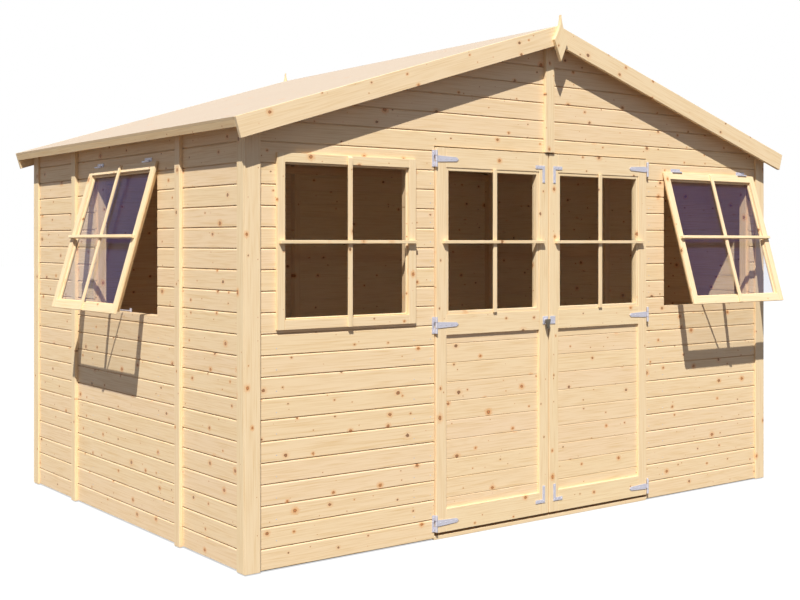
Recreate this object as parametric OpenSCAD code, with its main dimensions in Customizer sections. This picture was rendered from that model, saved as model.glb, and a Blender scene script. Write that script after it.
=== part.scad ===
// Wooden garden shed with a gable front, double doors and three windows.
// Millimetres. The front faces -Y, up is +Z. The origin is on the ground,
// at the centre of the plan of the walls.

/* [Building] */
// Width over the wall boards, from side wall to side wall
shed_w = 3480; // [3400:10:4600]
// Depth over the wall boards, from front to back
shed_d = 2430; // [2000:10:3600]
// Height of the roof's top face at the outer edge of the eaves
eaves_h = 1909; // [1900:1:2400]
// Pitch of the roof in degrees
roof_pitch = 17.2; // [14:0.2:30]
// How far the roof reaches past each side wall, fascia included
side_overhang = 93; // [60:1:200]
// How far the bargeboards' faces stand past the gable walls
end_overhang = 80; // [60:1:200]

/* [Walls] */
// Thickness of the wall boards
board_t = 19; // [12:1:28]
// Thickness and width of the framing timbers
stud = 45; // [34:1:60]
// Gap between the ground and the lowest wall board
ground_gap = 5; // [2:1:20]
// Width of the corner trims on the gable faces
trim_w = 66; // [40:1:100]
// Width of the corner trims on the side faces
side_trim_w = 60; // [30:1:100]
// Thickness of the corner trims
trim_t = 10; // [8:1:25]
// Width of the cover strips over the panel joints
strip_w = 50; // [30:1:70]
// Thickness of the cover strips
strip_t = 18; // [10:1:25]
// Width of the cover strip up the front gable
gable_strip_w = 60; // [40:1:90]
// Width of the end panels of the left wall
end_panel_w = 600; // [450:5:700]

/* [Floor] */
// Height of the floor bearers
bearer_h = 40; // [30:1:70]
// Width of each floor bearer
bearer_w = 60; // [40:1:90]
// Number of floor bearers, an odd number so that one lies in the middle
bearer_n = 5; // [3:2:9]
// Thickness of the floor boards
deck_t = 18; // [12:1:28]
// Height of the threshold strip under the doors
threshold_h = 18; // [10:1:28]

/* [Roof] */
// Thickness of the roof boards
roof_t = 12; // [10:1:28]
// How far the eaves fascias lie behind the edge of the roof boards over them
fascia_back = 0; // [0:1:30]
// Height of the eaves fascias, square to the slope
fascia_h = 31; // [30:1:120]
// Thickness of the fascias and bargeboards
barge_t = 18; // [12:1:28]
// Width of the bargeboards, square to the slope
barge_w = 92; // [60:1:140]
// Depth of the ridge beam and purlins, square to the roof
purlin_h = 70; // [45:1:120]
// Height of the finials
finial_h = 232; // [150:1:320]
// Widest part of the finials
finial_w = 92; // [60:1:140]
// How far a finial's point stands above the bargeboards' apex
finial_rise = 52; // [20:1:100]

/* [Doors] */
// Width of one door leaf
leaf_w = 723; // [600:1:760]
// Height of the top of the doors above the ground
door_top = 1840; // [1790:1:1880]
// Height of the bottom of the doors above the ground
door_bottom = 32; // [26:1:60]
// Thickness of a door leaf's frame
leaf_t = 40; // [32:1:50]
// How far the doors' faces stand proud of the wall boards
leaf_proud = 8; // [4:1:15]
// Gap between the leaves and the doorway
door_gap = 6; // [5:0.5:10]
// Gap between the two leaves
meet_gap = 8; // [7:0.5:12]
// Width of the stiles of the doors
stile_w = 62; // [50:1:85]
// Width of the top rail of the doors
top_rail_w = 93; // [60:1:115]
// Width of the beads round the doors' glass
door_bead = 15; // [8:1:20]
// Height of the underside of the doors' glass
door_glass_bottom = 1069; // [900:1:1200]
// Width of the middle rail of the doors
mid_rail_w = 112; // [80:1:140]
// Width of the bottom rail of the doors
bottom_rail_w = 108; // [80:1:160]
// Thickness of the doors' lower boards
leaf_board_t = 16; // [10:1:20]
// How far the lower boards lie behind the doors' faces
leaf_board_back = 11; // [6:1:16]
// Radius of the knuckles of the door hinges
knuckle_r = 6; // [4:0.5:9]

/* [Windows] */
// Width of the fixed window left of the doors
fixed_w = 746; // [600:1:790]
// Height of the fixed window
fixed_h = 757; // [600:1:770]
// Height of the top of the fixed window above the ground
fixed_top = 1777; // [1650:1:1780]
// Distance from the left wall's face to the centre of the fixed window
fixed_x = 519; // [480:1:555]
// Width of the two opening sashes
open_w = 780; // [600:1:790]
// Height of the two opening sashes
open_h = 746; // [600:1:770]
// Height of the top of the opening sashes above the ground
open_top = 1777; // [1650:1:1780]
// Distance from the right wall's face to the centre of the opening front window
open_x = 486; // [480:1:555]
// Width of the side members of a sash
sash_w = 40; // [34:1:60]
// Width of the top member of a sash
sash_top_w = 40; // [34:1:60]
// Width of the bottom member of a sash
sash_bottom_w = 42; // [34:1:80]
// Thickness of the lip that laps over the wall boards
lip_t = 12; // [6:1:20]
// How far the lip laps past the body of the sash
lip = 16; // [8:1:22]
// Gap between a sash's body and the edge of its opening
sash_gap = 3; // [2:0.5:6]
// How far the two opening sashes stand open, in degrees
sash_open = 16.5; // [5:0.1:25]
// Height of the level bar across each sash
bar_h = 15; // [10:1:25]
// How far the level bar stands proud of the sash
bar_proud = 20; // [8:1:25]
// Width of the upright bar of each sash
upright_w = 22; // [14:1:30]
// How far the upright bar stands proud of the sash
upright_proud = 9; // [4:1:20]
// Height of the bars' crossing above the bottom of the sash, as a share of its height
bar_rise = 0.497; // [0.4:0.001:0.6]
// Thickness of the glass
glass_t = 4; // [3:0.5:6]
// How far the glass of the doors lies behind their faces
glass_back = 24; // [12:1:26]
// Distance from the back of a sash to its glass
glass_in = 1.5; // [1:0.5:5]

/* [Hidden] */

big = 6000;
half_w = shed_w / 2;
half_d = shed_d / 2;
slope = tan(roof_pitch);
pitch_cos = cos(roof_pitch);
ridge_h = eaves_h + (half_w + side_overhang) * slope;
roof_seat = 0.02;
roof_drop = roof_t / pitch_cos + roof_seat;
frame_in = board_t + stud;
deck_top = bearer_h + deck_t;
// Clearance between pieces that bear on each other without a joint
seat = 0.3;
// Gap between the two boards that meet at a mitre
mitre = 0.5;

// Doors
wall_top = door_top + door_gap;
leaf_edge = meet_gap / 2 + leaf_w;
doorway = leaf_edge + door_gap;
leaf_face = -half_d - leaf_proud;
stop_w = 15;
stop_y = leaf_face + leaf_t + door_gap;
hinge_x = leaf_edge + door_gap / 2;
hinge_y = leaf_face - knuckle_r;
hinge_z = [door_bottom + 46, door_glass_bottom - 63, door_top - 53];
plate_w = 14;
plate_h = 78;
iron_t = 3;
arm_l = 138;
knuckle_h = 24;
latch_z = door_glass_bottom - 66;

// Framing
header_top = wall_top + stud;
side_plate_z = ridge_h - roof_drop - (half_w - board_t) * slope - 2 * stud;
ridge_beam_z = ridge_h - roof_drop - stud / pitch_cos - 20;

// Windows
sash_t = lip_t + board_t;
fixed_window_x = fixed_x - half_w;
open_window_x = half_w - open_x;
// How far the studs and heads lap behind the edge of a sash
rebate = lip + 10;
// How far a window's opening lies inside the edge of its sash
hole_in = lip - sash_gap;

// Roof edge
roof_y = half_d + end_overhang - barge_t;

// A box given by its lowest and highest corners
module block(lo, hi) {
    translate(lo)
        cube(hi - lo);
}

// The region under a height line that follows the roof, drop below its top face
module under_roof(drop) {
    polygon([[-big, ridge_h - drop - big * slope], [0, ridge_h - drop], [big, ridge_h - drop - big * slope],
        [big, -big], [-big, -big]]);
}

// A plate in the XZ plane from the child outline, its front face at y0
module upright(y0, t) {
    translate([0, y0 + t, 0])
        rotate([90, 0, 0])
            linear_extrude(t)
                children();
}

// The opening through a wall's boards for a sash w by h. Like the sash, it is drawn for a wall
// whose face is the XZ plane, with the sash's top at the origin.
module window_hole(w, h) {
    half_hole = w / 2 - hole_in;
    block([-half_hole, -board_t, -h + hole_in], [half_hole, 2 * board_t, -hole_in]);
}

// Places for a sash: the fixed window, the opening front window and the side window
module at_fixed() {
    translate([fixed_window_x, -half_d, fixed_top])
        children();
}

module at_front() {
    translate([open_window_x, -half_d, open_top])
        children();
}

module at_side() {
    translate([-half_w, 0, open_top])
        rotate([0, 0, -90])
            children();
}

// ---- floor ----

module floor_bearers() {
    reach = half_d - frame_in - bearer_w / 2;
    color("burlywood")
        for (i = [0:bearer_n - 1])
            translate([0, -reach + 2 * reach * i / (bearer_n - 1), 0])
                block([-half_w + frame_in, -bearer_w / 2, 0], [half_w - frame_in, bearer_w / 2, bearer_h]);
}

module floor_deck() {
    color("burlywood")
        block([-half_w + frame_in, -half_d + frame_in, bearer_h], [half_w - frame_in, half_d - frame_in, deck_top]);
}

module threshold() {
    color("wheat")
        block([-doorway, -half_d, 0], [doorway, -half_d + frame_in, threshold_h]);
}

// ---- wall boards ----

// The boards of the front beside the doorway, between x0 and x1
module front_wall(x0, x1) {
    block([x0, -half_d, ground_gap], [x1, -half_d + board_t, wall_top]);
}

module front_wall_left() {
    color("wheat")
        difference() {
            front_wall(-half_w, -doorway);
            at_fixed()
                window_hole(fixed_w, fixed_h);
        }
}

module front_wall_right() {
    color("wheat")
        difference() {
            front_wall(doorway, half_w);
            at_front()
                window_hole(open_w, open_h);
        }
}

module gable(y0) {
    color("wheat")
        upright(y0, board_t)
            intersection() {
                translate([-half_w, wall_top])
                    square([shed_w, ridge_h]);
                under_roof(roof_drop);
            }
}

module front_gable() {
    gable(-half_d);
}

module back_gable() {
    gable(half_d - board_t);
}

module back_wall() {
    color("wheat")
        block([-half_w, half_d - board_t, ground_gap], [half_w, half_d, wall_top]);
}

// A length of side wall between two depths, its top cut to the roof's slope
module side_wall(side, y0, y1) {
    x0 = side < 0 ? -half_w : half_w - board_t;
    upright(y0, y1 - y0)
        intersection() {
            translate([x0, ground_gap])
                square([board_t, ridge_h]);
            under_roof(roof_drop);
        }
}

module left_wall_ends() {
    color("wheat") {
        side_wall(-1, -half_d + board_t, -half_d + end_panel_w);
        side_wall(-1, half_d - end_panel_w, half_d - board_t);
    }
}

module left_wall_middle() {
    color("wheat")
        difference() {
            side_wall(-1, -half_d + end_panel_w, half_d - end_panel_w);
            at_side()
                window_hole(open_w, open_h);
        }
}

module right_wall() {
    color("wheat")
        side_wall(1, -half_d + board_t, half_d - board_t);
}

// ---- framing ----

module bottom_plates() {
    color("tan") {
        for (s = [-1, 1]) {
            block([s < 0 ? -half_w + board_t : doorway, -half_d + board_t, 0],
                [s < 0 ? -doorway : half_w - board_t, -half_d + frame_in, stud]);
            block([s < 0 ? -half_w + board_t : half_w - frame_in, -half_d + frame_in + seat, 0],
                [s < 0 ? -half_w + frame_in : half_w - board_t, half_d - frame_in - seat, stud]);
        }
        block([-half_w + board_t, half_d - frame_in, 0], [half_w - board_t, half_d - board_t, stud]);
    }
}

module top_plates() {
    color("tan") {
        // along the side walls, cut to the slope
        for (x0 = [-half_w + board_t, half_w - frame_in])
            upright(-half_d + frame_in, shed_d - 2 * frame_in)
                intersection() {
                    translate([x0, side_plate_z])
                        square([stud, ridge_h]);
                    under_roof(roof_drop);
                }
        // across the front over the doors, and across the back
        for (y0 = [-half_d + board_t, half_d - frame_in])
            block([-half_w + frame_in, y0, wall_top], [half_w - frame_in, y0 + stud, header_top]);
    }
}

module corner_posts() {
    color("tan")
        for (x0 = [-half_w + board_t, half_w - frame_in])
            for (y0 = [-half_d + board_t, half_d - frame_in])
                upright(y0, stud)
                    intersection() {
                        translate([x0, stud])
                            square([stud, ridge_h]);
                        under_roof(roof_drop);
                    }
}

// A stud in the front or back wall, its centre at x
module front_stud(x, y0, z0, z1) {
    block([x - stud / 2, y0, z0], [x + stud / 2, y0 + stud, z1]);
}

// A stud in a side wall, its centre at y
module side_stud(x0, y) {
    block([x0, y - stud / 2, stud], [x0 + stud, y + stud / 2, side_plate_z]);
}

module wall_studs() {
    front_y = -half_d + board_t;
    back_y = half_d - frame_in;
    color("tan") {
        for (s = [-1, 1]) {
            // beside the doorway, and beside each window
            front_stud(s * (doorway + stud / 2), front_y, stud, wall_top);
            front_stud(fixed_window_x + s * (fixed_w / 2 - rebate + stud / 2), front_y, stud, wall_top);
            front_stud(open_window_x + s * (open_w / 2 - rebate + stud / 2), front_y, stud, wall_top);
            side_stud(-half_w + board_t, s * (open_w / 2 - rebate + stud / 2));
            // at the inner edges of the left wall's end panels
            side_stud(-half_w + board_t, s * (half_d - end_panel_w + stud / 2));
        }
        // in the middle of the right and back walls
        side_stud(half_w - frame_in, 0);
        front_stud(0, back_y, stud, wall_top);
        // in the gables, under the ridge beam
        front_stud(0, front_y, header_top, ridge_beam_z);
        front_stud(0, back_y, header_top, ridge_beam_z);
    }
}

// The head and the sill between the studs beside a sash w by h, the sill level with the opening
module head_and_sill(w, h) {
    half_frame = w / 2 - rebate;
    for (z0 = [-h + hole_in - stud, -rebate])
        block([-half_frame, board_t, z0], [half_frame, frame_in, z0 + stud]);
}

module window_rails() {
    color("tan") {
        at_fixed()
            head_and_sill(fixed_w, fixed_h);
        at_front()
            head_and_sill(open_w, open_h);
        at_side()
            head_and_sill(open_w, open_h);
    }
}

// Strips that the leaves close against
module door_stops() {
    color("wheat") {
        for (x0 = [-doorway, doorway - stop_w])
            block([x0, stop_y, threshold_h], [x0 + stop_w, -half_d + frame_in, wall_top - stop_w - seat]);
        block([-doorway, stop_y, wall_top - stop_w], [doorway, -half_d + frame_in, wall_top]);
    }
}

// ---- roof ----

module gable_rafters() {
    color("tan")
        for (y0 = [-half_d + board_t, half_d - frame_in])
            for (s = [-1, 1])
                upright(y0, stud)
                    intersection() {
                        translate([s < 0 ? -half_w + frame_in : stud / 2, header_top])
                            square([half_w - frame_in - stud / 2, ridge_h]);
                        difference() {
                            under_roof(roof_drop);
                            under_roof(roof_drop + stud / pitch_cos);
                        }
                    }
}

module purlins() {
    color("tan") {
        // ridge beam, its top cut to both slopes
        upright(-half_d + board_t, shed_d - 2 * board_t)
            intersection() {
                translate([-stud / 2, ridge_beam_z])
                    square([stud, ridge_h]);
                under_roof(roof_drop);
            }
        for (s = [-1, 1])
            translate([s * half_w / 2, 0, ridge_h - roof_drop - half_w / 2 * slope])
                rotate([0, s * roof_pitch, 0])
                    block([-stud / 2, -half_d + frame_in, -purlin_h], [stud / 2, half_d - frame_in, 0]);
    }
}

// Draws on the section of the right slope: the top edge at the eaves is the origin, x runs down
// the slope and y is square to it
module on_slope() {
    translate([half_w + side_overhang, eaves_h])
        rotate(-roof_pitch)
            children();
}

module roof_side() {
    color("bisque")
        upright(-roof_y, 2 * roof_y)
            intersection() {
                on_slope()
                    translate([-big, -roof_t])
                        square([big, roof_t]);
                square([big, big]);
            }
}

module roof_left() {
    mirror([1, 0, 0])
        roof_side();
}

module roof_right() {
    roof_side();
}

module eaves_fascias() {
    color("wheat")
        for (s = [0, 1])
            mirror([s, 0, 0])
                upright(-roof_y, 2 * roof_y)
                    on_slope()
                        translate([-fascia_back - barge_t, -roof_t - fascia_h])
                            square([barge_t, fascia_h]);
}

// One bargeboard, cut square at the eaves and mitred at the ridge
module bargeboard() {
    intersection() {
        on_slope()
            translate([-big, -barge_w])
                square([big, barge_w]);
        translate([mitre / 2, 0])
            square([big, big]);
    }
}

module bargeboards() {
    color("wheat")
        for (y0 = [-roof_y - barge_t, roof_y])
            upright(y0, barge_t) {
                bargeboard();
                mirror([1, 0])
                    bargeboard();
            }
}

// A pointed drop board: a straight taper below and a hollow taper above
module finial_outline() {
    wide_z = finial_h * 0.45;
    hollow_h = finial_h - wide_z;
    steps = 12;
    hollow = [for (i = [0:steps - 1]) [finial_w / 2 * pow(1 - i / steps, 1.8), wide_z + hollow_h * i / steps]];
    left = [for (i = [steps - 1:-1:0]) [-hollow[i][0], hollow[i][1]]];
    polygon(concat([[0, 0]], hollow, [[0, finial_h]], left));
}

module finials() {
    color("wheat")
        for (y0 = [-roof_y - 2 * barge_t, roof_y + barge_t])
            upright(y0, barge_t)
                translate([0, ridge_h + finial_rise - finial_h])
                    finial_outline();
}

// ---- trims ----

module corner_trims() {
    color("wheat")
        for (s = [-1, 1])
            for (t = [-1, 1])
                mirror([s > 0 ? 1 : 0, 0, 0])
                    mirror([0, t > 0 ? 1 : 0, 0]) {
                        upright(-half_d - trim_t, trim_t)
                            intersection() {
                                translate([-half_w - trim_t, ground_gap])
                                    square([trim_w + trim_t, ridge_h]);
                                under_roof(roof_drop);
                            }
                        upright(-half_d, side_trim_w)
                            intersection() {
                                translate([-half_w - trim_t, ground_gap])
                                    square([trim_t, ridge_h]);
                                under_roof(roof_drop);
                            }
                    }
}

// A cover strip up a side wall, its centre at y
module side_strip(x0, y) {
    upright(y - strip_w / 2, strip_w)
        intersection() {
            translate([x0, ground_gap])
                square([strip_t, ridge_h]);
            under_roof(roof_drop);
        }
}

// A cover strip up the middle of a gable wall, its top cut to both slopes
module gable_strip(y0, width, z0) {
    upright(y0, strip_t)
        intersection() {
            translate([-width / 2, z0])
                square([width, ridge_h]);
            under_roof(roof_drop);
        }
}

module cover_strips() {
    color("wheat") {
        side_strip(-half_w - strip_t, -half_d + end_panel_w);
        side_strip(-half_w - strip_t, half_d - end_panel_w);
        side_strip(half_w, 0);
        gable_strip(-half_d - strip_t, gable_strip_w, wall_top);
        gable_strip(half_d, strip_w, ground_gap);
    }
}

// ---- windows ----

// A sash w by h: a body that fits the opening and a lip over the boards round it
module sash_frame(w, h) {
    difference() {
        union() {
            block([-w / 2, -lip_t, -h], [w / 2, 0, 0]);
            block([-w / 2 + lip, -lip_t, -h + lip], [w / 2 - lip, board_t, -lip]);
        }
        block([-w / 2 + sash_w, -big, -h + sash_bottom_w], [w / 2 - sash_w, big, -sash_top_w]);
    }
    // bars planted across the outside
    cross_z = -h * (1 - bar_rise);
    block([-w / 2, -lip_t - bar_proud, cross_z - bar_h / 2], [w / 2, -lip_t, cross_z + bar_h / 2]);
    block([-upright_w / 2, -lip_t - upright_proud, -h], [upright_w / 2, -lip_t, 0]);
}

module sash_glass(w, h) {
    block([-w / 2 + sash_w, board_t - glass_in - glass_t, -h + sash_bottom_w],
        [w / 2 - sash_w, board_t - glass_in, -sash_top_w]);
}

// Swings a sash outwards by its top outer edge
module swung() {
    translate([0, -lip_t, 0])
        rotate([-sash_open, 0, 0])
            translate([0, lip_t, 0])
                children();
}

module front_left_sash() {
    color("wheat")
        at_fixed()
            sash_frame(fixed_w, fixed_h);
}

module front_right_sash() {
    color("wheat")
        at_front()
            swung()
                sash_frame(open_w, open_h);
}

module side_sash() {
    color("wheat")
        at_side()
            swung()
                sash_frame(open_w, open_h);
}

module window_glass() {
    color("lightblue", 0.4) {
        at_fixed()
            sash_glass(fixed_w, fixed_h);
        at_front()
            swung()
                sash_glass(open_w, open_h);
        at_side()
            swung()
                sash_glass(open_w, open_h);
    }
}

window_pin_r = 4;
window_hinge_w = 76;
window_leaf_h = 22;

// The two hinges over a sash: a leaf on the wall, bent out over the sash to its knuckle
module sash_hinges() {
    for (s = [-1, 1])
        translate([s * (open_w / 2 - 106) - window_hinge_w / 2, 0, 0]) {
            block([0, -iron_t, seat], [window_hinge_w, 0, window_leaf_h]);
            block([0, -lip_t - window_pin_r, seat], [window_hinge_w, -iron_t, seat + iron_t]);
            translate([0, -lip_t - window_pin_r, seat + window_pin_r])
                rotate([0, 90, 0])
                    cylinder(r = window_pin_r, h = window_hinge_w);
        }
}

module window_hinges() {
    color("silver") {
        at_front()
            sash_hinges();
        at_side()
            sash_hinges();
    }
}

// A point just inside the back of an open sash, s down from its top: [distance in, height]
function sash_back(s) = [
    -lip_t + (sash_t + seat) * cos(sash_open) - s * sin(sash_open),
    -(sash_t + seat) * sin(sash_open) - s * cos(sash_open)];

stay_w = 10;
stay_t = 5;

// A flat stay from its peg on the sill to the bottom rail of the open sash
module stay(x) {
    sill_z = -open_h + hole_in;
    peg_y = board_t + stud / 2;
    low = open_h - lip - 8;
    translate([x - stay_w / 2, 0, 0])
        rotate([90, 0, 90])
            linear_extrude(stay_w)
                polygon([[peg_y, sill_z + stay_t], sash_back(low), sash_back(low - stay_t),
                    [peg_y, sill_z + 2 * stay_t]]);
    translate([x, peg_y, sill_z])
        cylinder(r = stay_w / 2 + 1, h = 4 * stay_t);
}

module window_stays() {
    color("silver") {
        at_front()
            stay(-60);
        at_side()
            stay(-10);
    }
}

// ---- doors ----

// Each part of a leaf is drawn for the left door. The right door is its mirror image.
panel_x = [-leaf_edge + stile_w, -meet_gap / 2 - stile_w];
glass_x = [panel_x[0] + door_bead, panel_x[1] - door_bead];
glass_top = door_top - top_rail_w - door_bead;

module leaf_frame() {
    difference() {
        block([-leaf_edge, leaf_face, door_bottom], [-meet_gap / 2, leaf_face + leaf_t, door_top]);
        block([glass_x[0], -big, door_glass_bottom], [glass_x[1], big, glass_top]);
        block([panel_x[0], -big, door_bottom + bottom_rail_w],
            [panel_x[1], big, door_glass_bottom - mid_rail_w]);
    }
}

module leaf_boards() {
    y0 = leaf_face + leaf_board_back;
    block([panel_x[0], y0, door_bottom + bottom_rail_w],
        [panel_x[1], y0 + leaf_board_t, door_glass_bottom - mid_rail_w]);
}

module leaf_glass() {
    y0 = leaf_face + glass_back;
    block([glass_x[0], y0, door_glass_bottom], [glass_x[1], y0 + glass_t, glass_top]);
}

// Three tapering arms, each with the middle knuckle of its hinge
module leaf_hinges() {
    root = knuckle_h / 2 - 1;
    shoulder = knuckle_r + iron_t;
    for (z = hinge_z)
        translate([-hinge_x, hinge_y, z]) {
            difference() {
                cylinder(r = knuckle_r, h = knuckle_h, center = true);
                cylinder(r = knuckle_r / 2, h = 2 * knuckle_h, center = true);
            }
            translate([0, knuckle_r, 0])
                rotate([90, 0, 0])
                    linear_extrude(iron_t)
                        polygon([[knuckle_r / 2, -root], [shoulder, -root], [shoulder, -15],
                            [arm_l - 12, -10], [arm_l, 0], [arm_l - 12, 10],
                            [shoulder, 15], [shoulder, root], [knuckle_r / 2, root]]);
        }
}

// An L-shaped iron with its corner at the origin, its legs to the left and up
module corner_iron() {
    leg = 86;
    foot = 64;
    wide = 17;
    polygon([[0, 0], [-foot, 0], [-foot, wide], [-wide, wide], [-wide, leg], [0, leg]]);
}

// The corner irons at the meeting corners of a leaf
module leaf_brackets() {
    translate([-meet_gap / 2 - 25, leaf_face, 0])
        rotate([90, 0, 0])
            linear_extrude(iron_t) {
                translate([0, door_bottom + 55])
                    corner_iron();
                translate([0, door_top - 61])
                    mirror([0, 1])
                        corner_iron();
            }
}

module left_door_frame() {
    color("wheat")
        leaf_frame();
}

module left_door_boards() {
    color("wheat")
        leaf_boards();
}

module left_door_glass() {
    color("lightblue", 0.4)
        leaf_glass();
}

module left_door_hinges() {
    color("silver")
        leaf_hinges();
}

module left_door_brackets() {
    color("silver")
        leaf_brackets();
}

module right_door_frame() {
    color("wheat")
        mirror([1, 0, 0])
            leaf_frame();
}

module right_door_boards() {
    color("wheat")
        mirror([1, 0, 0])
            leaf_boards();
}

module right_door_glass() {
    color("lightblue", 0.4)
        mirror([1, 0, 0])
            leaf_glass();
}

module right_door_hinges() {
    color("silver")
        mirror([1, 0, 0])
            leaf_hinges();
}

module right_door_brackets() {
    color("silver")
        mirror([1, 0, 0])
            leaf_brackets();
}

latch_h = 40;
latch_in = meet_gap / 2 + 3;

// Plate and hanging handle on the left leaf, the handle tapering to its end
module door_latch() {
    color("silver")
        translate([0, leaf_face - iron_t, latch_z]) {
            block([-44, 0, -latch_h / 2], [-latch_in, iron_t, latch_h / 2]);
            translate([-28, -16, 0]) {
                rotate([-90, 0, 0])
                    cylinder(r = 6, h = 17);
                rotate([90, 0, 0])
                    translate([0, 0, -1])
                        linear_extrude(9)
                            polygon([[-17, 6], [17, 6], [15, -8], [5, -42], [-5, -42], [-15, -8]]);
            }
        }
}

// Plate on the right leaf that the latch holds to
module latch_keeper() {
    color("silver")
        translate([0, leaf_face, latch_z])
            block([latch_in, -iron_t, -latch_h / 2], [43, 0, latch_h / 2]);
}

// Wall halves of the door hinges: a plate with two knuckles, and the pin through them
module hinge_plates() {
    color("silver")
        for (s = [0, 1])
            for (z = hinge_z)
                mirror([s, 0, 0])
                    translate([-hinge_x, 0, z]) {
                        block([-door_gap / 2 - plate_w, -half_d - iron_t, -plate_h / 2],
                            [-door_gap / 2, -half_d, plate_h / 2]);
                        for (t = [-1, 1])
                            translate([0, 0, t * (plate_h - knuckle_h) / 2]) {
                                translate([0, hinge_y, 0])
                                    cylinder(r = knuckle_r, h = knuckle_h, center = true);
                                block([-door_gap / 2 - iron_t, hinge_y, -knuckle_h / 2],
                                    [-door_gap / 2, -half_d, knuckle_h / 2]);
                            }
                        translate([0, hinge_y, 0])
                            cylinder(r = knuckle_r / 2 - 0.05, h = plate_h, center = true);
                    }
}

floor_bearers();
floor_deck();
threshold();
front_wall_left();
front_wall_right();
front_gable();
left_wall_ends();
left_wall_middle();
right_wall();
back_wall();
back_gable();
bottom_plates();
top_plates();
corner_posts();
wall_studs();
window_rails();
door_stops();
gable_rafters();
purlins();
roof_left();
roof_right();
eaves_fascias();
bargeboards();
finials();
corner_trims();
cover_strips();
front_left_sash();
front_right_sash();
side_sash();
window_glass();
window_hinges();
window_stays();
hinge_plates();
left_door_frame();
left_door_boards();
left_door_glass();
left_door_hinges();
left_door_brackets();
door_latch();
right_door_frame();
right_door_boards();
right_door_glass();
right_door_hinges();
right_door_brackets();
latch_keeper();
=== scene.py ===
import math
import random

import bmesh
import bpy
from mathutils import Matrix, Vector


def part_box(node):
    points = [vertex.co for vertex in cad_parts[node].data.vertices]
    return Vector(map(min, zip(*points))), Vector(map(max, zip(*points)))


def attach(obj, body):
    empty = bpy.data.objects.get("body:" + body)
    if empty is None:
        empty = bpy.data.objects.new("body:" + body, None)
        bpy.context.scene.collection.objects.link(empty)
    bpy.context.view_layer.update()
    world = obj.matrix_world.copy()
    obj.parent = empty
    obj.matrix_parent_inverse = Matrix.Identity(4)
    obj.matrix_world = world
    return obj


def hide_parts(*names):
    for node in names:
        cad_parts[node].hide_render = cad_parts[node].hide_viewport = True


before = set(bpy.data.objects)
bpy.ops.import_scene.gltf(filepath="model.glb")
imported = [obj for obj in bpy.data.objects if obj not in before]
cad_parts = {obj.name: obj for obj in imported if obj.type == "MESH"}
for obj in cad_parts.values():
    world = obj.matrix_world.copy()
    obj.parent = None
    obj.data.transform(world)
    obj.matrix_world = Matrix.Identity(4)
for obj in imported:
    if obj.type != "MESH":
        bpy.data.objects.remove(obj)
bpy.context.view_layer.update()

# Every length is in metres. The front faces -Y, and the ground is at z = 0.


# ---- Floor bearers ----
# Sawn softwood laid from side to side on the ground, five under the floor.
# They are the roughest timber of the building, never planed or painted.

class Socket:
    """An output of a node. Sums on it add Math nodes to its tree."""

    def __init__(self, tree, end):
        self.tree = tree
        self.end = end

    def other(self, name):
        return Socket(self.tree, self.end.node.outputs[name])

    def __add__(self, value):
        return self.tree.maths("ADD", self, value)

    def __radd__(self, value):
        return self.tree.maths("ADD", value, self)

    def __sub__(self, value):
        return self.tree.maths("SUBTRACT", self, value)

    def __rsub__(self, value):
        return self.tree.maths("SUBTRACT", value, self)

    def __mul__(self, value):
        return self.tree.maths("MULTIPLY", self, value)

    def __rmul__(self, value):
        return self.tree.maths("MULTIPLY", value, self)

    def __truediv__(self, value):
        return self.tree.maths("DIVIDE", self, value)

    def __pow__(self, value):
        return self.tree.maths("POWER", self, value)


class Tree:
    """A node tree, and the one way that nodes are added to it."""

    def __init__(self, group):
        self.group = group

    def node(self, kind, settings=None, values=None, output=0):
        node = self.group.nodes.new(kind)
        for name, value in (settings or {}).items():
            setattr(node, name, value)
        for name, value in (values or {}).items():
            for one in value if isinstance(value, list) else [value]:
                if isinstance(one, Socket):
                    self.group.links.new(one.end, node.inputs[name])
                else:
                    node.inputs[name].default_value = one
        return Socket(self, node.outputs[output]) if node.outputs else None

    def maths(self, operation, *values):
        return self.node("ShaderNodeMath", {"operation": operation}, dict(enumerate(values)))

    def vector(self, operation, a, b):
        return self.node("ShaderNodeVectorMath", {"operation": operation}, {0: a, 1: b})

    def joined(self, x=0.0, y=0.0, z=0.0):
        return self.node("ShaderNodeCombineXYZ", None, {"X": x, "Y": y, "Z": z})

    def parted(self, vector):
        x = self.node("ShaderNodeSeparateXYZ", None, {"Vector": vector}, "X")
        return x, x.other("Y"), x.other("Z")

    def noise(self, vector, scale, detail):
        values = {"Vector": vector, "Scale": scale, "Detail": detail}
        return self.node("ShaderNodeTexNoise", None, values, "Fac")

    def blend(self, share, colour, other):
        return self.node("ShaderNodeMix", {"data_type": "RGBA"}, {0: share, 6: colour, 7: other}, 2)

    def fade(self, value, start, end):
        """1 below start, falling smoothly to 0 at end."""
        values = {"Value": value, "From Min": start, "From Max": end, "To Min": 1.0, "To Max": 0.0}
        return self.node("ShaderNodeMapRange", {"interpolation_type": "SMOOTHSTEP"}, values)

    def relief(self, height, strength, distance):
        values = {"Strength": strength, "Distance": distance, "Height": height}
        return self.node("ShaderNodeBump", None, values)

    def feed(self, shader, values):
        """Links what changes over a surface to the shader."""
        for name, value in values.items():
            self.group.links.new(value.end, shader.inputs[name])


def finish(name):
    """A new material and its tree, with the shader node."""
    material = bpy.data.materials.new(name)
    material.use_nodes = True
    tree = Tree(material.node_tree)
    return material, tree, material.node_tree.nodes["Principled BSDF"]


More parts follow.
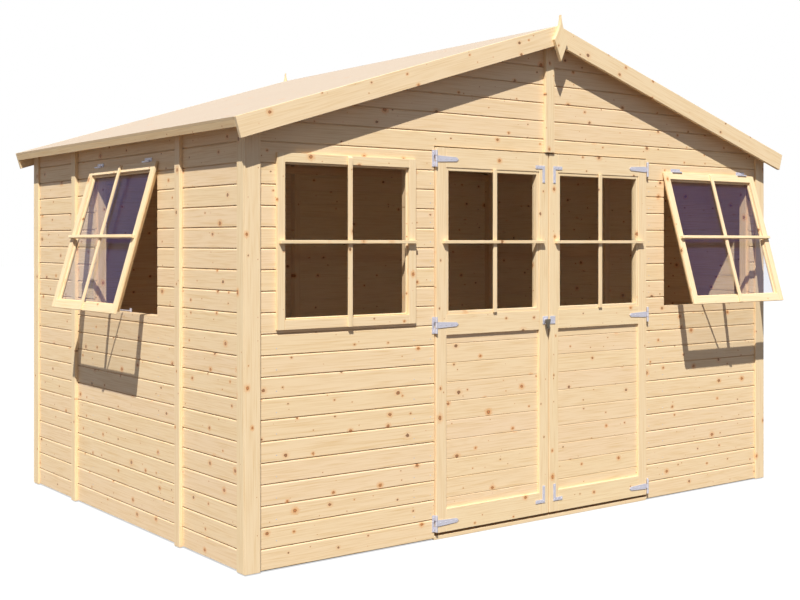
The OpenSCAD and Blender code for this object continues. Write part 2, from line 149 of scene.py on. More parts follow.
def softwood(name, pale, rich, rosy, knots=0.62, rough=0.62, sawn=0.0, below=None):
    """Bare pine, its growth lines along x of the grain attribute and bent round its knots.

    A board may be another colour below and on its edges. The roof uses this for painted shade: its upper
    faces keep a darker colour against the sun, and the rest take the pale one."""
    material, wood, shader = finish(name)
    grain = wood.node("ShaderNodeAttribute", {"attribute_name": "grain"}, output="Vector")
    tone = wood.node("ShaderNodeAttribute", {"attribute_name": "tone"}, output="Fac")

    def knotted(cell, offset, share, least, spread):
        """Knots, at most one to a cell: heart, rim, halo, place across and redness."""
        at = wood.vector("DIVIDE", wood.vector("ADD", grain, offset), cell)
        nearest = wood.node("ShaderNodeTexVoronoi", {"voronoi_dimensions": "2D"},
                            {"Vector": at, "Scale": 1.0, "Randomness": 0.9}, "Position")
        chance = wood.node("ShaderNodeSeparateColor", None, {"Color": nearest.other("Color")}, "Red")
        away = wood.vector("MULTIPLY", wood.vector("SUBTRACT", at, nearest), cell)
        along, across, _ = wood.parted(away)
        along = along * 0.8
        reach = (along * along + across * across) ** 0.5 * ragged
        near = reach / (least + spread * chance * chance)
        present = wood.maths("LESS_THAN", chance.other("Green"), share)
        heart = wood.fade(near, 0.75, 1.15) * present
        rim = wood.fade(wood.maths("ABSOLUTE", near - 0.92), 0.05, 0.35) * present
        halo = wood.fade(near, 0.9, 3.6) * present
        return heart, rim, halo, across, chance.other("Blue")

    # full knots, and between them pin knots of a millimetre or two
    ragged = 0.55 + 0.9 * wood.noise(grain, 140.0, 1.0)
    heart, rim, halo, across, redness = knotted(cell=(0.21, 0.083, 1.0), offset=(0.0, 0.0, 0.0),
                                                share=knots, least=0.0028, spread=0.0050)
    pin, pin_rim, pin_halo, _, _ = knotted(cell=(0.13, 0.047, 1.0), offset=(7.3, 2.1, 0.0),
                                           share=knots * 0.45, least=0.0010, spread=0.0014)

    # growth lines, drawn aside by the knots, and finer streaks between them
    rings = 120.0
    drawn_aside = 0.85
    length, width, depth = wood.parted(grain)
    height = width - across * halo * drawn_aside
    broad = wood.joined(length * 0.6, height * 12.0, depth * 12.0)
    figure = wood.noise(broad, 1.0, 1.5)
    lines = wood.maths("SINE", figure * rings) * 0.5 + 0.5
    late = lines ** 3.0
    streak = wood.noise(wood.joined(length * 5.0, height * 190.0, depth * 190.0), 1.0, 3.0)
    patch = wood.noise(broad, 0.35, 2.0)

    resin = (0.80, 0.36, 0.11, 1.0)
    dead_knot = (0.17, 0.06, 0.022, 1.0)
    live_knot = (0.58, 0.20, 0.055, 1.0)
    bark = (0.12, 0.045, 0.018, 1.0)
    body = wood.blend(tone * 0.55 + patch * 0.45 - 0.22, pale, rosy)
    body = wood.blend(late * 0.22 + (streak - 0.46) * 2.6, body, rich)
    body = wood.blend(halo * (0.25 + 0.45 * redness) + pin_halo * 0.35, body, resin)
    core = wood.blend(redness, dead_knot, live_knot)
    body = wood.blend(wood.maths("MAXIMUM", heart, pin) * 0.82, body, core)
    body = wood.blend(wood.maths("MAXIMUM", rim, pin_rim * 0.6) * 0.6, body, bark)
    # painted shade: faces turned up keep the darker body, and all others take the colour below
    if below:
        upward = wood.parted(wood.node("ShaderNodeNewGeometry", output="Normal"))[2]
        body = wood.blend(wood.maths("LESS_THAN", upward, 0.5) * 0.85, body, below)
    ridges = late * 0.5 + streak * (0.6 + sawn) + heart * 0.4
    shader.inputs["Specular IOR Level"].default_value = 0.3
    wood.feed(shader, {"Base Color": body,
                       "Roughness": rough + (streak - 0.5) * 0.2 - heart * 0.2,
                       "Normal": wood.relief(ridges, 0.35 + sawn, 0.0006)})
    return material


sawn_pine = softwood("sawn_pine", (0.80, 0.57, 0.33, 1), (0.66, 0.42, 0.20, 1), (0.78, 0.53, 0.32, 1),
                     rough=0.75, sawn=0.5)

draw = random.Random(29)


def lay_grain(stick, along, across, through):
    """Gives one stick its own run of grain, measured along its three directions."""
    shift = Vector((draw.uniform(0, 40), draw.uniform(0, 9), draw.uniform(0, 0.4)))
    tone = draw.random()
    grain = stick.verts.layers.float_vector["grain"]
    shade = stick.verts.layers.float["tone"]
    for corner in stick.verts:
        place = Vector((corner.co.dot(along), corner.co.dot(across), corner.co.dot(through)))
        corner[grain] = place + shift
        corner[shade] = tone


class Joinery:
    """Sticks of timber or iron gathered into one piece."""

    def __init__(self):
        self.work = bmesh.new()
        self.layers(self.work)

    @staticmethod
    def layers(work):
        work.verts.layers.float_vector.new("grain")
        work.verts.layers.float.new("tone")

    def add(self, stick, arris, segments=2):
        """Eases the arrises of a closed stick, lays its grain and adds it."""
        sharp_turn = math.radians(25)
        bmesh.ops.recalc_face_normals(stick, faces=stick.faces)
        sharp = [edge for edge in stick.edges if edge.calc_face_angle(0) > sharp_turn]
        longest = max(stick.edges, key=lambda edge: edge.calc_length())
        along = (longest.verts[1].co - longest.verts[0].co).normalized()
        flank = [face for face in stick.faces if abs(face.normal.dot(along)) < 0.5]
        through = max(flank or stick.faces, key=lambda face: face.calc_area()).normal.copy()
        through = (through - along * through.dot(along)).normalized()
        if arris > 0:
            bmesh.ops.bevel(stick, geom=sharp, offset=arris, segments=segments, profile=0.5,
                            affect="EDGES", clamp_overlap=True)
        lay_grain(stick, along, through.cross(along), through)
        mesh = bpy.data.meshes.new("stick")
        stick.to_mesh(mesh)
        stick.free()
        self.work.from_mesh(mesh)
        bpy.data.meshes.remove(mesh)

    def stick(self, a, b, arris=0.0012, shape=None):
        """A square-sawn stick between two opposite corners; shape may move its corners."""
        low = Vector(map(min, a, b))
        high = Vector(map(max, a, b))
        stick = bmesh.new()
        self.layers(stick)
        for corner in bmesh.ops.create_cube(stick, size=1.0)["verts"]:
            share = corner.co + Vector((0.5, 0.5, 0.5))
            corner.co = Vector(low[i] + (high[i] - low[i]) * share[i] for i in range(3))
        for corner in stick.verts:
            if shape:
                corner.co = shape(corner.co)
        self.add(stick, arris)

    def plate(self, outline, y0, y1, arris=0.0, segments=1):
        """A plate cut to an outline in x and z, between two depths."""
        plate = bmesh.new()
        self.layers(plate)
        face = plate.faces.new([plate.verts.new((x, y0, z)) for x, z in outline])
        drawn = bmesh.ops.extrude_face_region(plate, geom=[face], use_keep_orig=True)["geom"]
        for part in drawn:
            if isinstance(part, bmesh.types.BMVert):
                part.co.y = y1
        self.add(plate, arris, segments)

    def rod(self, a, b, radius, sides=16, arris=0.0):
        """A round rod between two points."""
        a, b = Vector(a), Vector(b)
        rod = bmesh.new()
        self.layers(rod)
        turn = (b - a).to_track_quat("Z", "X").to_matrix().to_4x4()
        bmesh.ops.create_cone(rod, cap_ends=True, segments=sides, radius1=radius, radius2=radius,
                              depth=(b - a).length, matrix=Matrix.Translation((a + b) / 2) @ turn)
        self.add(rod, arris)

    def node(self, name, arris, segments=2):
        """The solids of a CAD node, merged and cleaned."""
        whole = merged(name)
        left = dict.fromkeys(whole.verts)
        while left:
            found = [next(iter(left))]
            del left[found[0]]
            for corner in found:
                for edge in corner.link_edges:
                    other = edge.other_vert(corner)
                    if other in left:
                        del left[other]
                        found.append(other)
            stick = bmesh.new()
            self.layers(stick)
            twin = {corner: stick.verts.new(corner.co) for corner in found}
            # a dict keeps its order, so each run adds the faces and draws the grain alike
            for face in dict.fromkeys(face for corner in found for face in corner.link_faces):
                stick.faces.new([twin[corner] for corner in face.verts])
            self.add(stick, arris, segments)
        whole.free()

    def piece(self, name, material, body, slot, replaced=(), place=None, smooth=False):
        """Makes the gathered sticks one piece of the building."""
        mesh = bpy.data.meshes.new(name)
        self.work.to_mesh(mesh)
        self.work.free()
        if place:
            mesh.transform(place)
        return fitted(name, mesh, material, body, replaced, smooth)


def set_out(name, data):
    """A new object in the scene."""
    thing = bpy.data.objects.new(name, data)
    bpy.context.scene.collection.objects.link(thing)
    return thing


def merged(node):
    """A copy of a CAD node's mesh with its loose triangles joined."""
    same_point = 1e-5
    flat = math.radians(1)
    whole = bmesh.new()
    whole.from_mesh(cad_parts[node].data)
    bmesh.ops.remove_doubles(whole, verts=whole.verts, dist=same_point)
    bmesh.ops.dissolve_limit(whole, angle_limit=flat, verts=whole.verts, edges=whole.edges)
    return whole


def fitted(name, mesh, material, body, replaced=(), smooth=False):
    """Puts a finished mesh in the scene as a piece that rides on its body."""
    mesh.materials.clear()
    mesh.materials.append(material)
    mesh.shade_flat()
    if smooth:
        mesh.shade_smooth()
        mesh.set_sharp_from_angle(angle=math.radians(32))
    piece = set_out(name, mesh)
    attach(piece, body)
    if replaced:
        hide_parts(*replaced)
    return piece


def dressed(node, material, slot, body="shed", arris=0.0015, smooth=False):
    """A CAD node made again with eased arrises and its grain laid along every stick."""
    work = Joinery()
    work.node(node, arris, 1 if smooth else 2)
    return work.piece("visual_" + node, material, body, slot, [node], smooth=smooth)


dressed("floor_bearers", sawn_pine, "framing", arris=0.002)


# ---- Floor boards ----
# Planed tongued boards laid from front to back across the bearers.
# Each is a length of one section, set beside the last and cut to the room.

floor_pine = softwood("floor_pine", (0.86, 0.62, 0.36, 1), (0.72, 0.47, 0.23, 1), (0.83, 0.56, 0.35, 1))


def planned(name, inputs, result):
    """A Geometry Nodes tree with its named inputs, and the node that gives them."""
    tree = Tree(bpy.data.node_groups.new(name, "GeometryNodeTree"))
    for label, kind in inputs.items():
        tree.group.interface.new_socket(label, in_out="INPUT", socket_type="NodeSocket" + kind)
    tree.group.interface.new_socket(result, in_out="OUTPUT", socket_type="NodeSocketGeometry")
    return tree, tree.node("NodeGroupInput")


def grown(tree, mesh, values):
    """Runs a tree on a mesh and gives what it makes as a plain mesh."""
    holder = set_out(tree.group.name, mesh)
    modifier = holder.modifiers.new(tree.group.name, "NODES")
    modifier.node_group = tree.group
    for socket in tree.group.interface.items_tree:
        if socket.in_out == "INPUT" and socket.name in values:
            modifier[socket.identifier] = values[socket.name]
    bpy.context.view_layer.update()
    seen = holder.evaluated_get(bpy.context.evaluated_depsgraph_get())
    result = bpy.data.meshes.new_from_object(seen)
    bpy.data.objects.remove(holder)
    return result


boarding, given = planned("boarding", {"Section": "Geometry", "Length": "Float", "Base": "Float",
                                       "Pitch": "Float", "Count": "Int", "Outline": "Object",
                                       "Openings": "Object", "Seed": "Int", "Finish": "Material"}, "Boards")

# one board, drawn out from its section and closed at both ends
section = given.other("Section")
drawn = boarding.node("GeometryNodeExtrudeMesh", None,
                      {"Mesh": section, "Offset": boarding.joined(given.other("Length")),
                       "Offset Scale": 1.0, "Individual": False})
back = boarding.node("GeometryNodeFlipFaces", None, {"Mesh": section})
closed = boarding.node("GeometryNodeJoinGeometry", None, {"Geometry": [drawn, back]})
board = boarding.node("GeometryNodeMergeByDistance", None, {"Geometry": closed, "Distance": 1e-5})

# the rows, cut to the outline and round the openings
rows = boarding.node("GeometryNodeMeshLine", {"mode": "OFFSET"},
                     {"Count": given.other("Count"), "Offset": boarding.joined(z=given.other("Pitch"))})
laid = boarding.node("GeometryNodeInstanceOnPoints", None, {"Points": rows, "Instance": board})
stack = boarding.node("GeometryNodeRealizeInstances", None, {"Geometry": laid})
outline = boarding.node("GeometryNodeObjectInfo", None, {"Object": given.other("Outline")}, "Geometry")
cut = boarding.node("GeometryNodeMeshBoolean", {"operation": "INTERSECT", "solver": "EXACT"},
                    {"Mesh 2": [stack, outline]})
holes = boarding.node("GeometryNodeObjectInfo", None, {"Object": given.other("Openings")}, "Geometry")
cleared = boarding.node("GeometryNodeMeshBoolean", {"operation": "DIFFERENCE", "solver": "EXACT"},
                        {"Mesh 1": cut, "Mesh 2": [holes]})

# each row has its own run of grain and its own tone
x, y, z = boarding.parted(boarding.node("GeometryNodeInputPosition"))
height = (z - given.other("Base")) / given.other("Pitch")
height = boarding.node("GeometryNodeFieldOnDomain", {"domain": "FACE"}, {"Value": height})
row = boarding.maths("FLOOR", height)
shift = boarding.node("FunctionNodeRandomValue", {"data_type": "FLOAT_VECTOR"},
                      {0: (0.0, 0.0, 0.0), 1: (40.0, 9.0, 0.4), "ID": row, "Seed": given.other("Seed")})
marked = boarding.node("GeometryNodeStoreNamedAttribute", {"data_type": "FLOAT_VECTOR", "domain": "CORNER"},
                       {"Geometry": cleared, "Name": "grain",
                        "Value": boarding.vector("ADD", boarding.joined(x, z, y), shift)})
shade = boarding.node("FunctionNodeRandomValue", {"data_type": "FLOAT"},
                      {2: 0.0, 3: 1.0, "ID": row, "Seed": given.other("Seed") + 7}, 1)
marked = boarding.node("GeometryNodeStoreNamedAttribute", {"data_type": "FLOAT", "domain": "CORNER"},
                       {"Geometry": marked, "Name": "tone", "Value": shade})
coated = boarding.node("GeometryNodeSetMaterial", None,
                       {"Geometry": marked, "Material": given.other("Finish")})
boarding.node("NodeGroupOutput", None, {"Boards": coated})


def solid(name, parts):
    """A hidden cutting solid from several closed bmesh parts."""
    mesh = bpy.data.meshes.new(name)
    whole = bmesh.new()
    for part in parts:
        bmesh.ops.recalc_face_normals(part, faces=part.faces)
        part.to_mesh(mesh)
        part.free()
        whole.from_mesh(mesh)
    whole.to_mesh(mesh)
    whole.free()
    return set_out(name, mesh)


def prism(outline, low=-0.02, high=0.05):
    """A block through the wall, its outline given in x and z of the wall's face."""
    block = bmesh.new()
    near = [block.verts.new((x, low, z)) for x, z in outline]
    far = [block.verts.new((x, high, z)) for x, z in outline]
    block.faces.new(near)
    block.faces.new(far)
    for i in range(len(outline)):
        j = (i + 1) % len(outline)
        block.faces.new((near[i], near[j], far[j], far[i]))
    return block


def window_hole(left, right, low, high):
    """A square block, deeper than the boards on both sides."""
    return prism([(left, low), (right, low), (right, high), (left, high)], -0.03, 0.06)


def node_outline(node, place, slack=0.006):
    """A CAD node as a cutter in a wall's own frame, made thicker so that it trims only the ends."""
    block = merged(node)
    block.transform(place.inverted())
    depths = [corner.co.y for corner in block.verts]
    middle = (min(depths) + max(depths)) / 2
    grow = 1 + slack / (max(depths) - min(depths))
    for corner in block.verts:
        corner.co.y = middle + (corner.co.y - middle) * grow
    return block


def standing(corner, along, inward):
    """The frame of a wall: x along its face, y inward through the boards and z up."""
    along = Vector(along)
    inward = Vector(inward)
    place = Matrix((along, inward, along.cross(inward))).transposed().to_4x4()
    place.translation = Vector(corner)
    return place


def boards(section, start, length, base, pitch, count, outline, openings, seed, material, place):
    """Boards from one section, cut to their outline and round the openings; gives a mesh in place."""
    face = bpy.data.meshes.new("section")
    face.from_pydata([(start, y, base + z) for y, z in section], [], [range(len(section))])
    outline = solid("outline", outline)
    openings = solid("openings", openings)
    mesh = grown(boarding, face, {"Length": length, "Base": base, "Pitch": pitch, "Count": count,
                                  "Outline": outline, "Openings": openings, "Seed": seed,
                                  "Finish": material})
    mesh.transform(place)
    for cutter in (outline, openings):
        bpy.data.objects.remove(cutter)
    return mesh


def tongued(pitch, thick, groove=0.0012, vee=0.0012):
    """The section of a tongued board: a small V at each joint and a tongue half way down."""
    half = groove / 2
    play = 0.0003
    groove_deep = 0.006
    tongue_long = 0.0055
    tongue = thick * 0.4
    back = thick * 0.65
    return [(0, half + vee), (vee, half), (tongue - play, half), (tongue - play, groove_deep),
            (back + play, groove_deep), (back + play, half), (thick, half), (thick, pitch - half),
            (back, pitch - half), (back, pitch + tongue_long), (tongue, pitch + tongue_long),
            (tongue, pitch - half), (vee, pitch - half), (0, pitch - half - vee)]


# boards are laid this much too long at each end, and then trimmed
spare = 0.01
deck_rows = 37
deck_lo, deck_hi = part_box("floor_deck")
deck_place = standing((deck_hi.x, deck_lo.y, deck_hi.z), (0, 1, 0), (0, 0, -1))
deck_pitch = (deck_hi.x - deck_lo.x) / deck_rows
deck = boards(tongued(deck_pitch, deck_hi.z - deck_lo.z), -spare, deck_hi.y - deck_lo.y + 2 * spare, 0.0,
              deck_pitch, deck_rows, [node_outline("floor_deck", deck_place)], [], 3, floor_pine, deck_place)
fitted("floor_boards", deck, floor_pine, "shed", ["floor_deck"])


# ---- Framing ----
# Planed softwood plates, posts, studs and rails, nailed together into wall panels.
# It is the skeleton that the wall boards are nailed to from outside.

frame_pine = softwood("frame_pine", (0.87, 0.64, 0.39, 1), (0.72, 0.48, 0.24, 1), (0.83, 0.58, 0.37, 1))

for timber in ("bottom_plates", "corner_posts", "wall_studs", "window_rails", "top_plates",
               "gable_rafters", "purlins"):
    dressed(timber, frame_pine, "framing")


# ---- Wall boards ----
# Dropped shiplap in planed pine, nailed level to the framing and cut round the openings.
# The rounded top of each board and the groove over it draw the lines of the wall.

wall_pine = softwood("wall_pine", (0.905, 0.69, 0.415, 1), (0.78, 0.53, 0.26, 1), (0.90, 0.66, 0.44, 1))

wall_lo, wall_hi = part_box("back_wall")
half_w = wall_hi.x
half_d = wall_hi.y
board_t = wall_hi.y - wall_lo.y
wall_low = wall_lo.z
wall_pitch = 0.0908
wall_base = 0.007
apex_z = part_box("front_gable")[1].z
roof_pitch = math.radians(17.2)
roof_slope = math.tan(roof_pitch)
door_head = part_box("front_gable")[0].z
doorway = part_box("front_wall_right")[0].x

# the section of one board, from the groove under it to the lap behind the next; y runs inward
shiplap = [(0, 0.0026), (0.0008, 0.0018), (0.0068, 0.0018), (0.0068, 0.0095), (board_t, 0.0095),
           (board_t, wall_pitch + 0.007), (0.0084, wall_pitch + 0.007), (0.0078, wall_pitch + 0.0064),
           (0.0078, wall_pitch - 0.002), (0.0050, wall_pitch - 0.002), (0.0022, wall_pitch - 0.0034),
           (0.0007, wall_pitch - 0.0056), (0, wall_pitch - 0.0082)]


def wall(name, place, width, outline, openings, seed, replaced):
    """One wall's boards from the ground to the roof."""
    count = math.ceil((apex_z - wall_base) / wall_pitch)
    mesh = boards(shiplap, -spare, width + 2 * spare, wall_base, wall_pitch, count, outline, openings, seed,
                  wall_pine, place)
    return fitted(name, mesh, wall_pine, "shed", replaced)


front_place = standing((-half_w, -half_d, 0), (1, 0, 0), (0, 1, 0))
back_place = standing((half_w, half_d, 0), (-1, 0, 0), (0, -1, 0))
left_place = standing((-half_w, half_d, 0), (0, -1, 0), (1, 0, 0))
right_place = standing((half_w, -half_d, 0), (0, 1, 0), (-1, 0, 0))
width = 2 * half_w
depth = 2 * half_d
eaves_z = apex_z - half_w * roof_slope
kerf = 0.001

# the boards stop 13 mm inside the outer edges of each sash, which laps over them
lap = 0.013
fixed_lo, fixed_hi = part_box("front_left_sash")
open_lo, open_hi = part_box("front_right_sash")
side_lo, side_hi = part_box("side_sash")
open_h = 0.746

front = prism([(0, wall_low), (half_w - doorway, wall_low), (half_w - doorway, door_head),
               (half_w + doorway, door_head), (half_w + doorway, wall_low), (width, wall_low),
               (width, eaves_z), (half_w, apex_z), (0, eaves_z)])
wall("front_boards", front_place, width, [front],
     [window_hole(fixed_lo.x + half_w + lap, fixed_hi.x + half_w - lap, fixed_lo.z + lap, fixed_hi.z - lap),
      window_hole(open_lo.x + half_w + lap, open_hi.x + half_w - lap, open_hi.z - open_h + lap,
                  open_hi.z - lap),
      window_hole(half_w - kerf, half_w + kerf, door_head, apex_z + 0.1)],
     11, ["front_wall_left", "front_wall_right", "front_gable"])
back = prism([(0, wall_low), (width, wall_low), (width, eaves_z), (half_w, apex_z), (0, eaves_z)])
wall("back_boards", back_place, width, [back], [window_hole(half_w - kerf, half_w + kerf, 0, apex_z + 0.1)],
     12, ["back_wall", "back_gable"])
wall("left_end_boards", left_place, depth, [node_outline("left_wall_ends", left_place)], [], 13,
     ["left_wall_ends"])
wall("left_middle_boards", left_place, depth, [node_outline("left_wall_middle", left_place)], [], 14,
     ["left_wall_middle"])
wall("right_boards", right_place, depth, [node_outline("right_wall", right_place)],
     [window_hole(half_d - kerf, half_d + kerf, 0, apex_z)], 15, ["right_wall"])


# ---- Roof boards ----
# Thin tongued boards nailed down the slope from the ridge to the eaves.
# They are left bare, smooth and a little pinker than the walls, with painted shade on their upper faces.

# painted shade: the upper faces take a colour far darker than the pine's own, to hold back the strong sun on
# the slope; edges and undersides take the pale colour given as below
roof_pine = softwood("roof_pine", (0.515, 0.415, 0.315, 1), (0.468, 0.357, 0.255, 1), (0.51, 0.404, 0.309, 1),
                     knots=0.2, below=(0.92, 0.67, 0.38, 1))

roof_board_pitch = 0.118
roof_t = 0.012
roof_spare = 0.05
roof_section = tongued(roof_board_pitch, roof_t, 0.0008, 0.0006)

for node, side in (("roof_left", -1), ("roof_right", 1)):
    low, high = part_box(node)
    down = Vector((side * math.sin(roof_pitch), 0, math.cos(roof_pitch))) * -1
    along = Vector((math.cos(roof_pitch), 0, -side * math.sin(roof_pitch)))
    place = standing((0, low.y, high.z), along, down)
    length = (high.x - low.x) / math.cos(roof_pitch)
    start = -length - roof_spare if side < 0 else -roof_spare
    count = math.ceil((high.y - low.y) / roof_board_pitch)
    mesh = boards(roof_section, start, length + 2 * roof_spare, 0.0, roof_board_pitch, count,
                  [node_outline(node, place)], [], 21 + side, roof_pine, place)
    fitted(node + "_boards", mesh, roof_pine, "shed", [node])


# ---- Roof edges ----
# Planed boards that finish the roof: fascias along the eaves, bargeboards up the gables
# and a pointed finial over each mitre, cut from solid board.

trim_pine = softwood("trim_pine", (0.91, 0.71, 0.43, 1), (0.80, 0.56, 0.29, 1), (0.905, 0.68, 0.44, 1),
                     knots=0.5)
# painted light: the fascias have their own brighter, more orange copy of the trim pine, making up for the
# weak sun on their down-tilted faces
fascia_pine = softwood("fascia_pine", (0.96, 0.71, 0.40, 1), (0.86, 0.56, 0.27, 1), (0.95, 0.68, 0.40, 1))

dressed("eaves_fascias", fascia_pine, "trim")
dressed("bargeboards", trim_pine, "trim")
dressed("finials", trim_pine, "trim", arris=0.0012)


# ---- Corner trims and cover strips ----
# Flat planed strips nailed over the corners and over the joints of the wall panels.
# At a corner the front strip laps the edge of the side strip.

trim_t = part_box("corner_trims")[1].x - half_w
trim_front_w = 0.066
trim_side_w = 0.060
trim_top = 2.0


def under_roof(corner):
    """Moves the top of a stick to the underside of the roof."""
    if corner.z > trim_top / 2:
        corner.z = apex_z - abs(corner.x) * roof_slope
    return corner


trims = Joinery()
for s in (-1, 1):
    for t in (-1, 1):
        trims.stick((s * (half_w - trim_front_w), t * half_d, wall_low),
                    (s * (half_w + trim_t), t * (half_d + trim_t), trim_top), 0.0015, under_roof)
        trims.stick((s * half_w, t * half_d, wall_low),
                    (s * (half_w + trim_t), t * (half_d - trim_side_w), trim_top), 0.0015, under_roof)
trims.piece("corner_strips", trim_pine, "shed", "trim", ["corner_trims"])

dressed("cover_strips", trim_pine, "trim")
dressed("threshold", trim_pine, "trim")
dressed("door_stops", trim_pine, "trim")


# ---- Windows ----
# Each sash is four planed members with a lip over the wall boards, a bead round one pane
# and two slim bars planted across the outside. The front left one is fixed.

fixed_h = fixed_hi.z - fixed_lo.z
lip_t = 0.012
lip = 0.016
member_w = 0.040
top_member_w = 0.040
sill_member_w = 0.042
bead_w = 0.008
bead_t = 0.012
bead_round = 0.003
glass_t = 0.004
glass_y = board_t - 0.0015 - glass_t
bar_h = 0.015
bar_proud = 0.020
upright_w = 0.022
upright_proud = 0.009
bar_rise = 0.497
bar_end = 0.008


def sash(name, width, height, place, replaced):
    """A sash about its top edge: x across, y inward from the wall's face and z down from 0."""
    half = width / 2
    work = Joinery()
    for s in (-1, 1):
        work.stick((s * half, -lip_t, 0), (s * (half - member_w), 0, -height))
        work.stick((s * (half - lip), 0, -lip), (s * (half - member_w), board_t, lip - height))
        work.stick((s * (half - member_w), glass_y - bead_t, -top_member_w),
                   (s * (half - member_w - bead_w), glass_y, sill_member_w - height), bead_round)
    inner = half - member_w
    for low, high, body_low, body_high in ((-top_member_w, 0, -top_member_w, -lip),
                                           (-height, sill_member_w - height, lip - height,
                                            sill_member_w - height)):
        work.stick((-inner, -lip_t, low), (inner, 0, high))
        work.stick((-inner, 0, body_low), (inner, board_t, body_high))
    for z, away in ((-top_member_w, -bead_w), (sill_member_w - height, bead_w)):
        work.stick((-inner + bead_w, glass_y - bead_t, z), (inner - bead_w, glass_y, z + away), bead_round)
    front = -lip_t
    cross = -height * (1 - bar_rise)
    side = upright_w / 2
    work.stick((bar_end - half, front - bar_proud, cross - bar_h / 2),
               (half - bar_end, front, cross + bar_h / 2), 0.0015)

    near = 0.001

    def bevelled_end(corner):
        """The top of the upright slopes back from its front edge."""
        if corner.z > -near and corner.y < front - near:
            corner.z -= upright_proud
        return corner

    work.stick((-side, front - upright_proud, 0), (side, front, cross + bar_h / 2), 0.0015, bevelled_end)
    work.stick((-side, front - upright_proud, cross - bar_h / 2), (side, front, -height), 0.0015)
    return work.piece(name, trim_pine, "shed", "trim", replaced, place)


fixed_place = Matrix.Translation(((fixed_lo.x + fixed_hi.x) / 2, -half_d, fixed_hi.z))
sash("fixed_sash", fixed_hi.x - fixed_lo.x, fixed_h, fixed_place, ["front_left_sash"])

open_w = open_hi.x - open_lo.x
open_top = open_hi.z
sash_open = math.radians(16.5)
swing = (Matrix.Translation((0, -lip_t, 0)) @ Matrix.Rotation(-sash_open, 4, "X")
         @ Matrix.Translation((0, lip_t, 0)))
open_place = Matrix.Translation(((open_lo.x + open_hi.x) / 2, -half_d, open_top))
side_place = Matrix.Translation((-half_w, (side_lo.y + side_hi.y) / 2, open_top)) @ Matrix.Rotation(
    -math.pi / 2, 4, "Z")
sash("open_front_sash", open_w, open_h, open_place @ swing, ["front_right_sash"])
sash("open_side_sash", open_w, open_h, side_place @ swing, ["side_sash"])


# ---- Glass ----
# One pane of clear horticultural glass in each sash and door, bedded behind the beads.
# The sun passes through it; the two open panes lean back, and their blue colour is a painted reflection of
# the sky.

def glass(name, body, tint_and_painted_sky, edge):
    """Clear glass: the share of light it stops grows towards a glancing view. Its body colour lies over what
    is behind it: a tint in the clear glass, and a painted reflection of the sky in the open panes.
    """
    material, tree, shader = finish(name)
    facing = tree.node("ShaderNodeLayerWeight", None, {"Blend": 0.5}, "Facing")
    film = tree.noise(tree.node("ShaderNodeTexCoord", output="Object"), 3.0, 2.0)
    paler = tuple(1.2 * part for part in body)
    tree.feed(shader, {"Alpha": tint_and_painted_sky + edge * facing ** 5.0,
                       "Base Color": tree.blend(film, (*body, 1.0), (*paler, 1.0)),
                       "Roughness": 0.02 + film * 0.03})
    shader.inputs["IOR"].default_value = 1.5
    return material


still_glass = glass("clear_glass", (0.06, 0.075, 0.04), 0.05, 0.55)
# painted reflection: the blue body of the open panes stands in for the sky they would reflect
glass_with_painted_sky = glass("sky_lit_glass", (0.05, 0.065, 0.24), 0.10, 0.55)

for node, body in (("left_door_glass", "left_door"), ("right_door_glass", "right_door")):
    dressed(node, still_glass, "glazing", body, arris=0.0003)


def pane(name, width, height, place, material, replaced=()):
    """A pane between the beads of a sash, in the sash's own frame."""
    work = Joinery()
    half = width / 2 - member_w
    work.stick((-half, glass_y, -top_member_w), (half, glass_y + glass_t, sill_member_w - height), 0.0003)
    work.piece(name, material, "shed", "glazing", replaced, place)


pane("fixed_pane", fixed_hi.x - fixed_lo.x, fixed_h, fixed_place, still_glass, ["window_glass"])
pane("open_front_pane", open_w, open_h, open_place @ swing, glass_with_painted_sky)
pane("open_side_pane", open_w, open_h, side_place @ swing, glass_with_painted_sky)


# ---- Doors ----
# Two framed leaves that meet in the middle. Each has stiles and rails round a glazed top,
# and boards like the walls', but set back, in its lower half.

leaf_lo, leaf_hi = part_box("left_door_frame")
leaf_bottom, leaf_top = leaf_lo.z, leaf_hi.z
leaf_front, leaf_back = leaf_lo.y, leaf_hi.y
outer_x, inner_x = -leaf_lo.x, -leaf_hi.x
pane_lo, pane_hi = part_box("left_door_glass")
panel_lo, panel_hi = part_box("left_door_boards")
stile_face = 0.062
top_face = 0.093
cross_z = fixed_lo.z + bar_rise * fixed_h
door_bead = 0.015
door_bar_end = 0.037
bead_back = 0.003
panel_tuck = 0.004
panel_trim = 0.005


